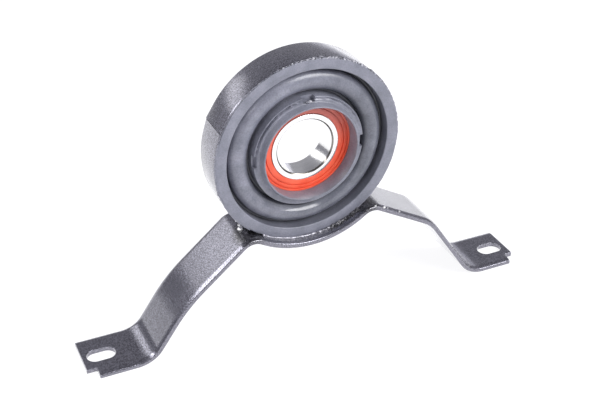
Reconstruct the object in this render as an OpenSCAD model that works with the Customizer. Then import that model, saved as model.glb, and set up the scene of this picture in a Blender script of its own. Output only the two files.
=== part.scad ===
// Driveshaft centre bearing. A sealed ball bearing sits in a moulded rubber
// diaphragm inside a rolled steel ring, and the ring is welded into the cradle
// of a bent mounting strap with two slotted feet.
// The shaft axis is Y and the front face looks along -Y. +Z is up. The origin
// is on the shaft axis, at the middle of the ring's width.

/* [Bearing] */
// Bore for the driveshaft
shaft_bore = 30; // [28:0.5:32]
// Outside diameter of the bearing
bearing_od = 55; // [54:0.5:57]
// Width of the bearing
bearing_width = 13; // [12.5:0.5:14]
// Distance of the bearing's middle behind the ring's middle
bearing_shift = 1.4; // [0:0.1:2.5]
// Diameter of one ball
ball_d = 7.144; // [6.5:0.001:7.3]
// Diameter of the circle that the ball centres lie on
pitch_d = 42.5; // [42:0.1:43]
// Number of balls
ball_count = 11; // [8:1:12]
// Gap between a ball and each raceway
ball_clearance = 0.05; // [0.02:0.01:0.1]
// Raceway groove radius as a share of the ball's diameter
groove_share = 0.525; // [0.515:0.005:0.55]
// Diameter of the inner race's land beside the groove
inner_land_d = 38.2; // [37.8:0.1:38.8]
// Diameter of the outer race's land beside the groove
outer_land_d = 46.8; // [46:0.1:47.5]
// Chamfer at the ends of the bore and of the outer race
race_chamfer = 0.8; // [0.4:0.1:1.2]

/* [Seals] */
// Outside diameter of a seal, snapped into the outer race
seal_od = 49.8; // [49:0.1:51]
// Thickness of a seal
seal_t = 1.5; // [1.2:0.1:1.7]
// Depth of a seal's face behind the race's face
seal_recess = 0.35; // [0.2:0.05:0.5]
// Diameter of the inner race where the seal's lip runs
seal_run_d = 36.4; // [35.6:0.1:37]
// Gap between the seal's lip and the inner race
lip_clearance = 0.1; // [0.05:0.01:0.2]
// Diameter of the line pressed into the seal's face
seal_line_d = 43.4; // [42:0.1:45]
// Width of that line
seal_line_w = 0.4; // [0.2:0.1:0.6]
// Depth of that line
seal_line_depth = 0.3; // [0.1:0.1:0.5]
// Width of the bead round the seal's outer edge
seal_bead_w = 0.7; // [0.4:0.1:1]
// Height of that bead above the seal's face
seal_bead_h = 0.2; // [0.1:0.05:0.3]

/* [Ball cage] */
// Sheet thickness of each cage half
cage_t = 0.65; // [0.5:0.05:0.7]
// Radial width of the cage ribbon
cage_w = 2.6; // [2:0.1:3]
// Gap between a ball and its pocket
pocket_clearance = 0.08; // [0.05:0.01:0.12]
// Diameter of a cage rivet's shank
rivet_d = 1.1; // [0.8:0.1:1.3]
// Diameter of a cage rivet's head
rivet_head_d = 1.9; // [1.6:0.1:2.2]
// Height of a cage rivet's head
rivet_head_h = 0.5; // [0.3:0.1:0.7]

/* [Steel ring] */
// Outside diameter of the ring
ring_od = 99.8; // [98:0.2:104]
// Wall of the ring
ring_wall = 2; // [1.6:0.1:2.4]
// Width over the ring and the rubber on its front edge
ring_span = 19.3; // [18.5:0.1:22]
// Direction of the butt seam, seen from the front, from +X towards +Z
seam_angle = 158; // [100:1:200]
// Width of the seam line
seam_w = 0.5; // [0.3:0.1:0.8]
// Depth of the seam line
seam_depth = 0.4; // [0.2:0.1:0.6]

/* [Rubber] */
// Steel sleeve that lines the rubber hub
sleeve_wall = 1; // [0.8:0.1:1.2]
// Rubber round that sleeve
hub_skin = 1.35; // [1.2:0.05:1.8]
// Depth of the hub's flat front face behind the ring's front
hub_face_depth = 0.15; // [0:0.05:0.6]
// Bore of the rubber lip over the bearing's face
lip_bore_d = 49.5; // [49:0.1:50.5]
// Height of the lip's nose in front of the ring's front
nose_h = 3.4; // [2:0.1:4.5]
// Diameter of the nose at its foot
nose_foot_d = 53.6; // [53:0.1:55]
// Bore of the nose at its tip
nose_bore_d = 50; // [49.6:0.1:51]
// Wall of the nose at its tip
nose_tip_t = 0.7; // [0.5:0.1:1]
// Thickness of the rubber lip behind the bearing
rear_lip_t = 2; // [1.5:0.1:2.5]
// Bore of that rear lip
rear_lip_d = 50.4; // [50:0.1:51.5]
// Rubber between the ring's wall and the diaphragm
rubber_wall = 4.1; // [3.6:0.1:4.6]
// Thickness of the rubber that covers the ring's front edge
rim_cover = 0.8; // [0.5:0.1:1.2]
// Steel edge left bare outside that rubber
rim_reveal = 0.5; // [0.3:0.1:0.8]
// Depth of the rubber's back behind the ring's back edge
back_recess = 0.8; // [0.4:0.1:1.5]
// Width of the moat between the hub and the roll
hub_moat_w = 1.75; // [1.4:0.05:2]
// Depth of that moat to its round floor
hub_moat_depth = 9; // [8:0.1:10]
// Width of the moat between the roll and the outer wall
wall_moat_w = 1.7; // [1.4:0.05:2]
// Depth of that moat to its round floor
wall_moat_depth = 8; // [7:0.1:9]
// Width of the roll that its radii and walls below are drawn for
roll_w = 10.5; // [9:0.1:12]
// Radius of the roll's shoulder on the hub side
hub_shoulder_r = 2.8; // [2.4:0.1:3.2]
// Radius of the roll's shoulder on the wall side
wall_shoulder_r = 3.5; // [3:0.1:3.8]
// Radius of the roll's crown between its shoulders
crown_r = 9; // [8:0.5:14]
// Depth of the hub-side shoulder's highest circle behind the front
hub_shoulder_depth = 2.4; // [2:0.1:3]
// Depth of the wall-side shoulder's highest circle behind the front
wall_shoulder_depth = 2.4; // [2:0.1:3]
// Thickness of the diaphragm's roof over the channel behind it
roof_t = 3.2; // [2.6:0.1:3.6]
// Thickness of the diaphragm's legs beside that channel
leg_t = 2.6; // [2.2:0.1:3]
// Draft of the channel's walls
channel_draft = 4; // [2:0.5:6]
// Directions of the moulding notches in the hub's rim
notch_angles = [0, 93, 180];
// Length of a moulding notch
notch_len = 7; // [5:0.5:9]
// Radial depth of a moulding notch
notch_radial = 1.3; // [0.8:0.1:1.3]
// Depth of a moulding notch along the shaft
notch_axial = 3; // [2:0.1:4]

/* [Strap] */
// Width of the strap
strap_w = 30; // [28:0.5:36]
// Thickness of the strap
strap_t = 2.8; // [2.5:0.1:4]
// Height of the shaft axis over the feet's underside
axis_height = 102; // [98:0.5:112]
// Fit-up gap between the ring and the cradle, bridged by the welds
cradle_gap = 0.05; // [0.03:0.01:0.15]
// Inside radius where a leg turns out of the cradle
crest_r = 7.5; // [5:0.5:9]
// Radius of the weld beads
weld_r = 1.8; // [1.4:0.1:2.2]
// Distance of a bead's centre in front of the edge that it welds
weld_stand = 1.2; // [0.8:0.1:1.3]
// Angle left free of weld at each end of the cradle
weld_margin = 1; // [0:0.5:4]

/* [Left leg] */
// Angle from straight down to the cradle's left end
left_wrap = 31.7; // [27:0.1:36]
// Slope of the upper stretch
left_slope = 41.2; // [36:0.1:46]
// Length of the upper stretch to the knee's corner
left_run = 41.4; // [36:0.1:46]
// Inside radius of the knee
left_knee_r = 85; // [40:1:100]
// Slope of the lower stretch
left_drop = 56.5; // [52:0.1:62]
// Inside radius of the bend into the foot
left_foot_r = 13.5; // [8:0.5:16]
// Distance of the foot's outer end from the shaft axis
left_reach = 120.7; // [117:0.1:130]

/* [Right leg] */
// Angle from straight down to the cradle's right end
right_wrap = 36.6; // [32:0.1:40]
// Slope of the upper stretch
right_slope = 28.6; // [24:0.1:34]
// Length of the upper stretch to the knee's corner
right_run = 37.8; // [33:0.1:42]
// Inside radius of the knee
right_knee_r = 20.5; // [15:0.5:30]
// Slope of the lower stretch
right_drop = 54.7; // [50:0.1:60]
// Inside radius of the bend into the foot
right_foot_r = 16; // [10:0.5:18]
// Distance of the foot's outer end from the shaft axis
right_reach = 136; // [133:0.1:146]

/* [Feet] */
// Length of a bolt slot, end to end
slot_len = 15; // [12:0.5:17]
// Width of a bolt slot
slot_w = 9.3; // [8.4:0.1:10.5]
// Distance of a slot's centre from the foot's outer end
slot_inset = 10; // [9:0.1:12]
// Length of the notch in a foot's front outer corner
corner_len = 5.2; // [3:0.1:7]
// Depth of that notch across the strap
corner_depth = 6.1; // [4:0.1:8]

/* [Hidden] */
$fn = 96;
// Angle between the points of a bend in the strap
arc_step = 3;
FRONT = 0;
BACK = 1;

ball_names = [for (i = [1:ball_count]) str("ball_", i < 10 ? "0" : "", i)];

// Radii round the shaft axis
bore_r = shaft_bore / 2;
race_r = bearing_od / 2;
pitch_r = pitch_d / 2;
ball_r = ball_d / 2;
groove_r = ball_d * groove_share;
sleeve_r = race_r + sleeve_wall;
hub_r = sleeve_r + hub_skin;
ring_r = ring_od / 2;
ring_bore_r = ring_r - ring_wall;
wall_r = ring_bore_r - rubber_wall;
rim_r = ring_r - rim_reveal;
roll_in_r = hub_r + hub_moat_w;
roll_out_r = wall_r - wall_moat_w;

// Places along the shaft
front_y = -ring_span / 2;
back_y = ring_span / 2;
steel_front_y = front_y + rim_cover;
rubber_back_y = back_y - back_recess;
hub_face_y = front_y + hub_face_depth;
nose_y = front_y - nose_h;
race_front_y = bearing_shift - bearing_width / 2;
race_back_y = bearing_shift + bearing_width / 2;
hub_back_y = race_back_y + rear_lip_t;
seal_seat = seal_recess + seal_t;

// Radii and walls of the diaphragm's roll, in the width that the ring leaves for it
roll_share = (roll_out_r - roll_in_r) / roll_w;
inner_arc_r = hub_shoulder_r * roll_share;
outer_arc_r = wall_shoulder_r * roll_share;
crown_arc_r = crown_r * roll_share;
channel_half = (roll_out_r - roll_in_r) / 2 - leg_t * roll_share;

// Centres of its arcs, as [radius, place]
hub_shoulder = [roll_in_r + inner_arc_r, front_y + hub_shoulder_depth + inner_arc_r];
wall_shoulder = [roll_out_r - outer_arc_r, front_y + wall_shoulder_depth + outer_arc_r];
crown = inside_tangent(hub_shoulder, inner_arc_r, wall_shoulder, outer_arc_r, crown_arc_r);
channel = [(roll_in_r + roll_out_r) / 2, crown[1] - crown_arc_r + roof_t * roll_share + channel_half];

cradle_r = ring_r + cradle_gap;
far = 4 * ring_od;
weld_start = right_wrap - weld_margin;
weld_end = left_wrap - weld_margin;

// Centre of the circle of radius r that holds circles a and b and touches both
function inside_tangent(a, ar, b, br, r) =
    let (span = norm(b - a), to_a = r - ar, to_b = r - br)
    let (along = (to_a * to_a - to_b * to_b + span * span) / (2 * span))
    let (across = sqrt(to_a * to_a - along * along), u = (b - a) / span)
    a + along * u + across * [-u[1], u[0]];

// Revolves a section drawn as [radius, place along the shaft]
module turned() {
    rotate([-90, 0, 0]) rotate_extrude() children();
}

// Turns a shape about the shaft axis, from +X towards +Z
module at_angle(angle) {
    rotate([0, -angle, 0]) children();
}

// Moves the bearing's own parts to the bearing's place on the shaft
module at_bearing() {
    translate([0, bearing_shift, 0]) children();
}

// Mirrors a bearing part that is drawn for the front side
module on_side(side) {
    mirror([0, side == BACK ? 1 : 0, 0]) children();
}

// Rectangle between two corners
module box2(low, high) {
    translate(low) square(high - low);
}

// Unit vectors along a heading and to the left of it
function along(heading) = [cos(heading), sin(heading)];
function left_of(heading) = [-sin(heading), cos(heading)];

// Points of one face of a bent strip, at height h over its underside. The path
// is a list of [length, 0, 0] for a straight and [0, inside radius, turn] for a
// bend, where a positive turn bends the strip up and a negative one down.
function face_points(path, h, at, heading = 0, i = 0) =
    i == len(path) ? [at + h * left_of(heading)] :
    let (length = path[i][0], r = path[i][1], turn = path[i][2])
    turn == 0 ? face_points(path, h, at + length * along(heading), heading, i + 1) :
    let (arm = turn > 0 ? strap_t + r : -r, centre = at + arm * left_of(heading))
    let (steps = ceil(abs(turn) / arc_step), after = centre - arm * left_of(heading + turn))
    concat(
        [for (k = [0:steps]) centre + (h - arm) * left_of(heading + turn * k / steps)],
        face_points(path, h, after, heading + turn, i + 1));

function reversed(list) = [for (i = [len(list) - 1:-1:0]) list[i]];

// One side of the strap from the cradle's end to the end of its foot. The lower
// stretch and the foot take the lengths that bring the foot flat onto its plane.
function leg(wrap, slope, run, knee_r, drop, foot_r, reach) =
    let (crest = (cradle_r + strap_t + crest_r) * [sin(wrap), -cos(wrap)])
    let (knee = crest + crest_r * left_of(-slope) + run * along(-slope))
    let (heel_x = knee[0] + (knee[1] + axis_height) / tan(drop))
    let (knee_cut = knee_r * tan((drop - slope) / 2), foot_cut = (foot_r + strap_t) * tan(drop / 2))
    let (lower = (knee[1] + axis_height) / sin(drop) - knee_cut - foot_cut)
    [
        [0, crest_r, -wrap - slope],
        [run - knee_cut, 0, 0],
        [0, knee_r, slope - drop],
        [lower, 0, 0],
        [0, foot_r, drop],
        [reach - heel_x - foot_cut, 0, 0]
    ];

strap_path = concat(
    reversed(leg(left_wrap, left_slope, left_run, left_knee_r, left_drop, left_foot_r, left_reach)),
    [[0, cradle_r, left_wrap + right_wrap]],
    leg(right_wrap, right_slope, right_run, right_knee_r, right_drop, right_foot_r, right_reach));

// Side view of the strap, from the end of its left foot to that of its right
module strap_outline() {
    start = [-left_reach, -axis_height];
    polygon(concat(
        [start], face_points(strap_path, 0, start),
        reversed(face_points(strap_path, strap_t, start)), [start + [0, strap_t]]));
}

// Bolt slot and corner notch of one foot, whose outer end lies at x = reach
module foot_cuts(reach) {
    slot_half = (slot_len - slot_w) / 2;
    translate([reach - slot_inset, 0, -axis_height - strap_t]) {
        linear_extrude(3 * strap_t) {
            square([2 * slot_half, slot_w], center = true);
            for (end = [-1, 1]) translate([end * slot_half, 0]) circle(slot_w / 2);
        }
    }
    translate([reach - corner_len, -strap_w, -axis_height - strap_t])
        cube([2 * corner_len, strap_w / 2 + corner_depth, 3 * strap_t]);
}

module mounting_strap() {
    color("#5a5a62") difference() {
        rotate([90, 0, 0]) linear_extrude(strap_w, center = true) strap_outline();
        foot_cuts(right_reach);
        mirror([1, 0, 0]) foot_cuts(left_reach);
    }
}

module outer_ring() {
    color("#66666e") difference() {
        turned() box2([ring_bore_r, steel_front_y], [ring_r, back_y]);
        at_angle(seam_angle) translate([ring_r - seam_depth, -ring_span, -seam_w / 2])
            cube([2 * seam_depth, 2 * ring_span, seam_w]);
    }
}

// Bead in the corner between the ring's edge and the strap, along the cradle
module weld_bead(edge_y, outward) {
    rotate([-90, 0, 0]) rotate([0, 0, 90 - weld_start])
        rotate_extrude(angle = weld_start + weld_end) intersection() {
            translate([ring_r, edge_y + outward * weld_stand]) circle(weld_r);
            children();
        }
}

module weld_front() {
    color("#2c2c30") weld_bead(front_y, -1) union() {
        box2([0, -far], [ring_r, front_y]);
        box2([rim_r, front_y], [ring_r, steel_front_y]);
    }
}

module weld_rear() {
    color("#2c2c30") weld_bead(back_y, 1) box2([0, back_y], [ring_r, far]);
}

// Round-bottomed fill of a moat between two radii
module moat_floor(low_r, high_r, depth) {
    half = (high_r - low_r) / 2;
    difference() {
        box2([low_r, front_y + depth - half], [high_r, rubber_back_y]);
        translate([low_r + half, front_y + depth - half]) circle(half);
    }
}

// Hub of the rubber, with the nosed lip in front of the bearing
module hub_section() {
    difference() {
        union() {
            box2([lip_bore_d / 2, hub_face_y], [hub_r, hub_back_y]);
            polygon([
                [lip_bore_d / 2, race_front_y],
                [nose_bore_d / 2, nose_y],
                [nose_bore_d / 2 + nose_tip_t, nose_y],
                [nose_foot_d / 2, hub_face_y],
                [nose_foot_d / 2, race_front_y]
            ]);
        }
        polygon([
            [0, race_front_y],
            [lip_bore_d / 2, race_front_y],
            [nose_bore_d / 2, nose_y],
            [0, nose_y]
        ]);
        box2([0, race_front_y], [sleeve_r, race_back_y]);
        box2([0, race_back_y], [rear_lip_d / 2, hub_back_y]);
    }
}

// Roll of the diaphragm, arched towards the front over a channel at the back
module roll_section() {
    difference() {
        union() {
            translate(hub_shoulder) circle(inner_arc_r);
            translate(wall_shoulder) circle(outer_arc_r);
            intersection() {
                translate(crown) circle(crown_arc_r);
                polygon([crown, crown + far * (hub_shoulder - crown), crown + far * (wall_shoulder - crown)]);
            }
            box2([roll_in_r, hub_shoulder[1]], [channel[0], rubber_back_y]);
            box2([channel[0], wall_shoulder[1]], [roll_out_r, rubber_back_y]);
        }
        translate(channel) circle(channel_half);
        for (side = [-1, 1]) {
            mouth = channel_half + (rubber_back_y - channel[1]) * tan(channel_draft);
            polygon([
                channel,
                channel + [side * channel_half, 0],
                [channel[0] + side * mouth, rubber_back_y],
                [channel[0], rubber_back_y]
            ]);
        }
    }
}

module rubber_mount() {
    color("#74747c") difference() {
        turned() {
            hub_section();
            moat_floor(hub_r, roll_in_r, hub_moat_depth);
            roll_section();
            moat_floor(roll_out_r, wall_r, wall_moat_depth);
            box2([wall_r, front_y], [ring_bore_r, rubber_back_y]);
            box2([wall_r, front_y], [rim_r, steel_front_y]);
        }
        for (angle = notch_angles) at_angle(angle)
            translate([hub_r - notch_radial, nose_y, -notch_len / 2])
                cube([notch_radial + hub_moat_w / 2, hub_face_y - nose_y + notch_axial, notch_len]);
    }
}

module bearing_sleeve() {
    color("#8c8c90") turned() box2([race_r, race_front_y], [sleeve_r, race_back_y]);
}

// Rectangular race section with both corners of one side chamfered
module race_section(inner, outer, chamfer_inner, chamfer_outer) {
    half = bearing_width / 2;
    ci = chamfer_inner;
    co = chamfer_outer;
    polygon([
        [inner + ci, -half], [outer - co, -half], [outer, co - half], [outer, half - co],
        [outer - co, half], [inner + ci, half], [inner, half - ci], [inner, ci - half]
    ]);
}

module outer_race() {
    half = bearing_width / 2;
    color("#c9c9cc") at_bearing() turned() difference() {
        race_section(outer_land_d / 2, race_r, 0, race_chamfer);
        for (side = [-1, 1]) translate([0, side * (half - seal_seat / 2)])
            square([seal_od, seal_seat], center = true);
        translate([pitch_r + ball_r + ball_clearance - groove_r, 0]) circle(groove_r);
    }
}

module inner_race() {
    half = bearing_width / 2;
    color("#e6e6e8") at_bearing() turned() difference() {
        race_section(bore_r, inner_land_d / 2, race_chamfer, 0);
        for (side = [-1, 1]) translate([seal_run_d / 2, side * half - seal_seat])
            square([inner_land_d - seal_run_d, 2 * seal_seat]);
        translate([pitch_r - ball_r - ball_clearance + groove_r, 0]) circle(groove_r);
    }
}

// Seal ring with its raised edge, the line in its face and the lip's edge
module seal(side) {
    face_y = seal_recess - bearing_width / 2;
    edge_r = seal_od / 2;
    lip_r = seal_run_d / 2 + lip_clearance;
    color("#e8553a") at_bearing() on_side(side) turned() difference() {
        union() {
            box2([lip_r, face_y], [edge_r, face_y + seal_t]);
            box2([edge_r - seal_bead_w, face_y - seal_bead_h], [edge_r, face_y]);
        }
        box2([seal_line_d - seal_line_w, face_y * 2] / 2, [seal_line_d / 2, face_y + seal_line_depth]);
    }
}

module seal_front() {
    seal(FRONT);
}

module seal_rear() {
    seal(BACK);
}

// Places children at each ball, or half a pitch on, between the balls
module round_the_balls(offset = 0) {
    for (i = [0:ball_count - 1]) at_angle((i + offset) * 360 / ball_count)
        translate([pitch_r, 0, 0]) children();
}

// Ribbon half of the riveted cage, with a round pocket over each ball
module cage(side) {
    pocket_r = ball_r + pocket_clearance;
    shell_r = pocket_r + cage_t;
    low_r = pitch_r - cage_w / 2;
    high_r = pitch_r + cage_w / 2;
    color("#b9a77c") at_bearing() on_side(side) {
        difference() {
            turned() box2([low_r, -cage_t], [high_r, 0]);
            round_the_balls() rotate([90, 0, 0])
                cylinder(r = pocket_r + cage_t / 2, h = 4 * cage_t, center = true);
            round_the_balls(0.5) rotate([90, 0, 0]) cylinder(d = rivet_d, h = 4 * cage_t, center = true);
        }
        intersection() {
            turned() box2([low_r, -2 * shell_r], [high_r, 0]);
            round_the_balls() turned() difference() {
                circle(shell_r);
                circle(pocket_r);
                box2([-2 * shell_r, -2 * shell_r], [0, 2 * shell_r]);
            }
        }
    }
}

module cage_front() {
    cage(FRONT);
}

module cage_rear() {
    cage(BACK);
}

module cage_rivets() {
    color("#a8a8ac") at_bearing() round_the_balls(0.5) rotate([90, 0, 0]) {
        cylinder(d = rivet_d, h = 2 * cage_t, center = true);
        for (side = [-1, 1]) translate([0, 0, side * (cage_t + rivet_head_h / 2)])
            cylinder(d = rivet_head_d, h = rivet_head_h, center = true);
    }
}

module ball(i) {
    color("#d8d8dc") at_bearing() at_angle(i * 360 / ball_count) translate([pitch_r, 0, 0]) sphere(ball_r);
}

mounting_strap();
outer_ring();
weld_front();
weld_rear();
rubber_mount();
bearing_sleeve();
outer_race();
inner_race();
seal_front();
seal_rear();
cage_front();
cage_rear();
cage_rivets();
for (i = [0:ball_count - 1]) ball(i);
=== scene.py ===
# Driveshaft centre bearing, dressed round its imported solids. The shaft axis is Y,
# the front looks along -Y, and angles round the shaft run from +X towards +Z.
import math

import bmesh
import bpy
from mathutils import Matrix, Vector


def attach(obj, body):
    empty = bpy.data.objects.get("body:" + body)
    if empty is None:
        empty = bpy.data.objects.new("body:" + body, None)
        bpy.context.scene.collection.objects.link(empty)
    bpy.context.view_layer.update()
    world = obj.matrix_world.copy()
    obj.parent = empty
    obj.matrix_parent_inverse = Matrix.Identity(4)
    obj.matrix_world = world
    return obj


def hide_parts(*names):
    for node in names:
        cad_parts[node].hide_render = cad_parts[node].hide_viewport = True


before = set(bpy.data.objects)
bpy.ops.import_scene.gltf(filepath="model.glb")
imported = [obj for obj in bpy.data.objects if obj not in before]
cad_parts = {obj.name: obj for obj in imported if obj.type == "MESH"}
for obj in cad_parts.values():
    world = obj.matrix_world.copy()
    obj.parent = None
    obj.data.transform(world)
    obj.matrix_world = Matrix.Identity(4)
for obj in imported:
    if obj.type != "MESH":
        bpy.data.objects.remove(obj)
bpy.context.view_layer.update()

MM = 0.001
# Points nearer than this are one point
SAME = 0.002 * MM
# Edges that turn by more than this stay sharp
CREASE = math.radians(32)
# Longest step along a drawn arc, in millimetres, and its widest turn in degrees
ARC_STEP = 0.35
ARC_TURN = 10

# Bearing, in millimetres as in its solids
BORE_R = 15.0
BEARING_SHIFT = 1.4
RACE_HALF = 6.5
RACE_CHAMFER = 0.8
RACE_FRONT = BEARING_SHIFT - RACE_HALF
RACE_BACK = BEARING_SHIFT + RACE_HALF
BALL_D = 7.144
BALL_PLAY = 0.05
PITCH_R = 21.25
TRACK_SHARE = 0.525
INNER_LAND_R = 19.1
SEAL_RUN_R = 18.2
SEAL_SEAT = 1.85
SEAL_LIP_R = 18.3
SEAL_EDGE_R = 24.9
SEAL_RECESS = 0.35
SEAL_T = 1.5

# Steel ring
RING_R = 49.9
RING_BORE_R = 47.9
RING_FRONT = -9.65
RING_BACK = 9.65
STEEL_FRONT = -8.85

# Rubber mount
NOSE_ROOT_R = 24.75
NOSE_MOUTH_R = 25.0
NOSE_TIP_R = 25.7
NOSE_FOOT_R = 26.8
NOSE_Y = -13.05
HUB_R = 29.85
HUB_FACE = -9.5
SLEEVE_R = 28.5
BACK_LIP_R = 25.2
BACK_LIP_T = 2.0
WALL_R = 43.8
RIM_R = 49.4
BONDED_R = RING_BORE_R + 0.5
RUBBER_BACK = 8.85
# Arcs of the diaphragm's roll, as centre radius, centre place and radius
HUB_MOAT = (30.725, -3.6, 0.875)
WALL_MOAT = (42.95, -3.7, 0.85)
HUB_SHOULDER = (34.4, -4.45, 2.8)
WALL_SHOULDER = (38.6, -3.75, 3.5)
CROWN_R = 6.0
CHANNEL_R = 36.85
CHANNEL_HALF = 2.65
CHANNEL_DRAFT = 4.0
ROOF_T = 3.2
# Depth of the slack hollow below the hub
HOLLOW = 2.4
# Radii of the hub's front face, close enough for its torn crevice
FACE_RADII = [27.8 + 0.25 * step for step in range(7)]
# Mould notches in the hub's front outer edge, as angle and depth
NOTCHES = ((0, 1.7), (92, 2.9), (180, 1.7))
NOTCH_LEN = 6.5
NOTCH_AXIAL = 3.0

# Strap
STRAP_W = 30.0
STRAP_T = 2.8
AXIS_HEIGHT = 102.0
FOOT_Z = STRAP_T / 2 - AXIS_HEIGHT
CRADLE_R = 49.95
CREST_R = 7.5
LEFT_REACH = 120.7
RIGHT_REACH = 136.0
SLOT_LEN = 15.0
SLOT_W = 9.3
SLOT_INSET = 10.0
CORNER_LEN = 5.2
CORNER_DEPTH = 6.1
CORNER_R = 0.9
# Angles and lengths of a leg: wrap, slope, run, knee radius, drop, foot bend radius, reach
LEFT_LEG = (31.7, 41.2, 41.4, 85.0, 56.5, 13.5, LEFT_REACH)
RIGHT_LEG = (36.6, 28.6, 37.8, 20.5, 54.7, 16.0, RIGHT_REACH)

# Weld bead's section, as rise over the ring's skin and reach past its edge
WELD_SECTION = ((-0.6, -0.3), (-0.85, 0.75), (-0.6, 1.0), (-0.15, 1.9), (0.25, 3.6), (0.3, -0.7))
# Drops of weld metal, as place and radius: a cluster by the left crest, and runs on the right front edge
SPATTER = (
    (-34.0, -2.6, -40.9, 1.6), (-33.2, 0.6, -40.9, 1.0), (-33.4, 4.8, -41.0, 0.5), (-33.0, 2.4, -40.9, 0.45),
    (37.2, -14.2, -38.5, 0.5), (42.4, -14.4, -40.5, 0.7), (44.6, -14.3, -41.7, 0.35), (52.0, -14.3, -45.7, 0.5))
# Paint burnt by the welding, as centre and reach
LEFT_BURN = ((-31.0, -7.0, -41.0), 9.5)
RIGHT_BURN = ((34.0, -8.0, -38.0), 9.0)
BEAD_BURN = ((30.0, -12.0, -41.0), 20.0)


def rest_all():
    """Leaves edit mode and drops every selection."""
    if bpy.context.mode != "OBJECT":
        bpy.ops.object.mode_set(mode="OBJECT")
    bpy.ops.object.select_all(action="DESELECT")


def settle(name):
    """Names the new primitive, puts its place into its mesh and opens it for editing."""
    piece = bpy.context.object
    piece.name = name
    piece.data.name = name
    bpy.ops.object.transform_apply(location=True, rotation=True, scale=True)
    bpy.ops.object.mode_set(mode="EDIT")
    bpy.ops.mesh.select_mode(type="VERT")
    bpy.ops.mesh.select_all(action="SELECT")
    return piece


def pick(piece, kind, test):
    """Selects the points, edges or faces of the open piece that pass the test."""
    bpy.ops.mesh.select_mode(type=kind)
    bpy.ops.mesh.select_all(action="DESELECT")
    mesh = bmesh.from_edit_mesh(piece.data)
    mesh.normal_update()
    for part in {"VERT": mesh.verts, "EDGE": mesh.edges, "FACE": mesh.faces}[kind]:
        part.select_set(bool(test(part)))
    mesh.select_flush_mode()
    bmesh.update_edit_mesh(piece.data)


def section(name, start, strokes, corners=()):
    """Draws a section as [radius, place along the shaft]: two numbers are a line's end, three are an arc's
    centre and its turn in degrees. Each corner named after that is rounded to its own radius."""
    rest_all()
    bpy.ops.mesh.primitive_plane_add(size=MM, location=(start[0] * MM, start[1] * MM, 0))
    piece = settle(name)
    bpy.ops.mesh.merge(type="CENTER")
    r, y = start
    for stroke in strokes:
        if len(stroke) == 2:
            step = ((stroke[0] - r) * MM, (stroke[1] - y) * MM, 0)
            bpy.ops.mesh.extrude_region_move(TRANSFORM_OT_translate={"value": step})
            r, y = stroke
        else:
            centre_r, centre_y, turn = stroke
            swing = math.radians(turn)
            dr, dy = r - centre_r, y - centre_y
            arc = abs(swing) * math.hypot(dr, dy)
            bpy.ops.mesh.spin(
                steps=max(2, math.ceil(abs(turn) / ARC_TURN), math.ceil(arc / ARC_STEP)), angle=-swing,
                center=(centre_r * MM, centre_y * MM, 0), axis=(0, 0, 1))
            r = centre_r + dr * math.cos(swing) - dy * math.sin(swing)
            y = centre_y + dr * math.sin(swing) + dy * math.cos(swing)
    bpy.ops.mesh.select_all(action="SELECT")
    bpy.ops.mesh.remove_doubles(threshold=SAME)
    bpy.ops.mesh.edge_face_add()
    for corner_r, corner_y, radius in corners:
        place = Vector((corner_r * MM, corner_y * MM, 0))
        pick(piece, "VERT", lambda v: (v.co - place).length < 10 * SAME)
        bpy.ops.mesh.bevel(offset=radius * MM, segments=4, affect="VERTICES")
    return piece


def close_up():
    """Merges doubles, turns the faces outwards and leaves the piece smooth."""
    bpy.ops.mesh.select_all(action="SELECT")
    bpy.ops.mesh.remove_doubles(threshold=SAME)
    bpy.ops.mesh.normals_make_consistent(inside=False)
    bpy.ops.object.mode_set(mode="OBJECT")
    bpy.ops.object.shade_smooth_by_angle(angle=CREASE)


def revolve(piece, steps):
    """Turns a section all the way round the shaft axis into a closed skin."""
    bpy.ops.mesh.select_all(action="SELECT")
    bpy.ops.mesh.delete(type="ONLY_FACE")
    bpy.ops.mesh.select_all(action="SELECT")
    bpy.ops.mesh.spin(steps=steps, angle=2 * math.pi, center=(0, 0, 0), axis=(0, 1, 0))
    close_up()
    return piece


def turn_about_shaft(angle):
    """Turns what is selected about the shaft axis, from +X towards +Z."""
    bpy.ops.transform.rotate(
        value=math.radians(angle), orient_axis="Y", orient_type="GLOBAL", center_override=(0, 0, 0))


def finish_with(piece, kind, **settings):
    """Adds one modifier to the piece and applies it."""
    rest_all()
    piece.select_set(True)
    bpy.context.view_layer.objects.active = piece
    modifier = piece.modifiers.new(kind.lower(), kind)
    for name, value in settings.items():
        setattr(modifier, name, value)
    bpy.ops.object.modifier_apply(modifier=modifier.name)


def cut(piece, cutter):
    """Takes the cutter's shape out of the piece and removes the cutter."""
    finish_with(piece, "BOOLEAN", operation="DIFFERENCE", solver="EXACT", object=cutter)
    bpy.data.objects.remove(cutter)


def shift(piece, direction, distance, group):
    """Moves the points of a group along a direction, by their share of a distance in millimetres."""
    finish_with(
        piece, "DISPLACE", direction=direction, strength=distance * MM, mid_level=0.0, vertex_group=group)


def roughen(piece, grain, swing, group="", direction="NORMAL", level=0.5):
    """Moves the skin by a noise of that grain and swing, in millimetres, one way above its level and back below."""
    noise = bpy.data.textures.new(piece.name + "_lumps", "CLOUDS")
    noise.noise_scale = grain * MM
    noise.noise_depth = 2
    finish_with(
        piece, "DISPLACE", texture=noise, texture_coords="LOCAL", direction=direction, strength=swing * MM,
        mid_level=level, vertex_group=group)


def weigh(piece, group, share):
    """Gives each point of the piece its share, from 0 to 1, in a named group."""
    members = piece.vertex_groups.new(name=group)
    for point in piece.data.vertices:
        members.add([point.index], share(point.co), "REPLACE")


def polar(co):
    """Angle of a point round the shaft in degrees, from +X towards +Z."""
    return math.degrees(math.atan2(co.z, co.x))


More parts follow.
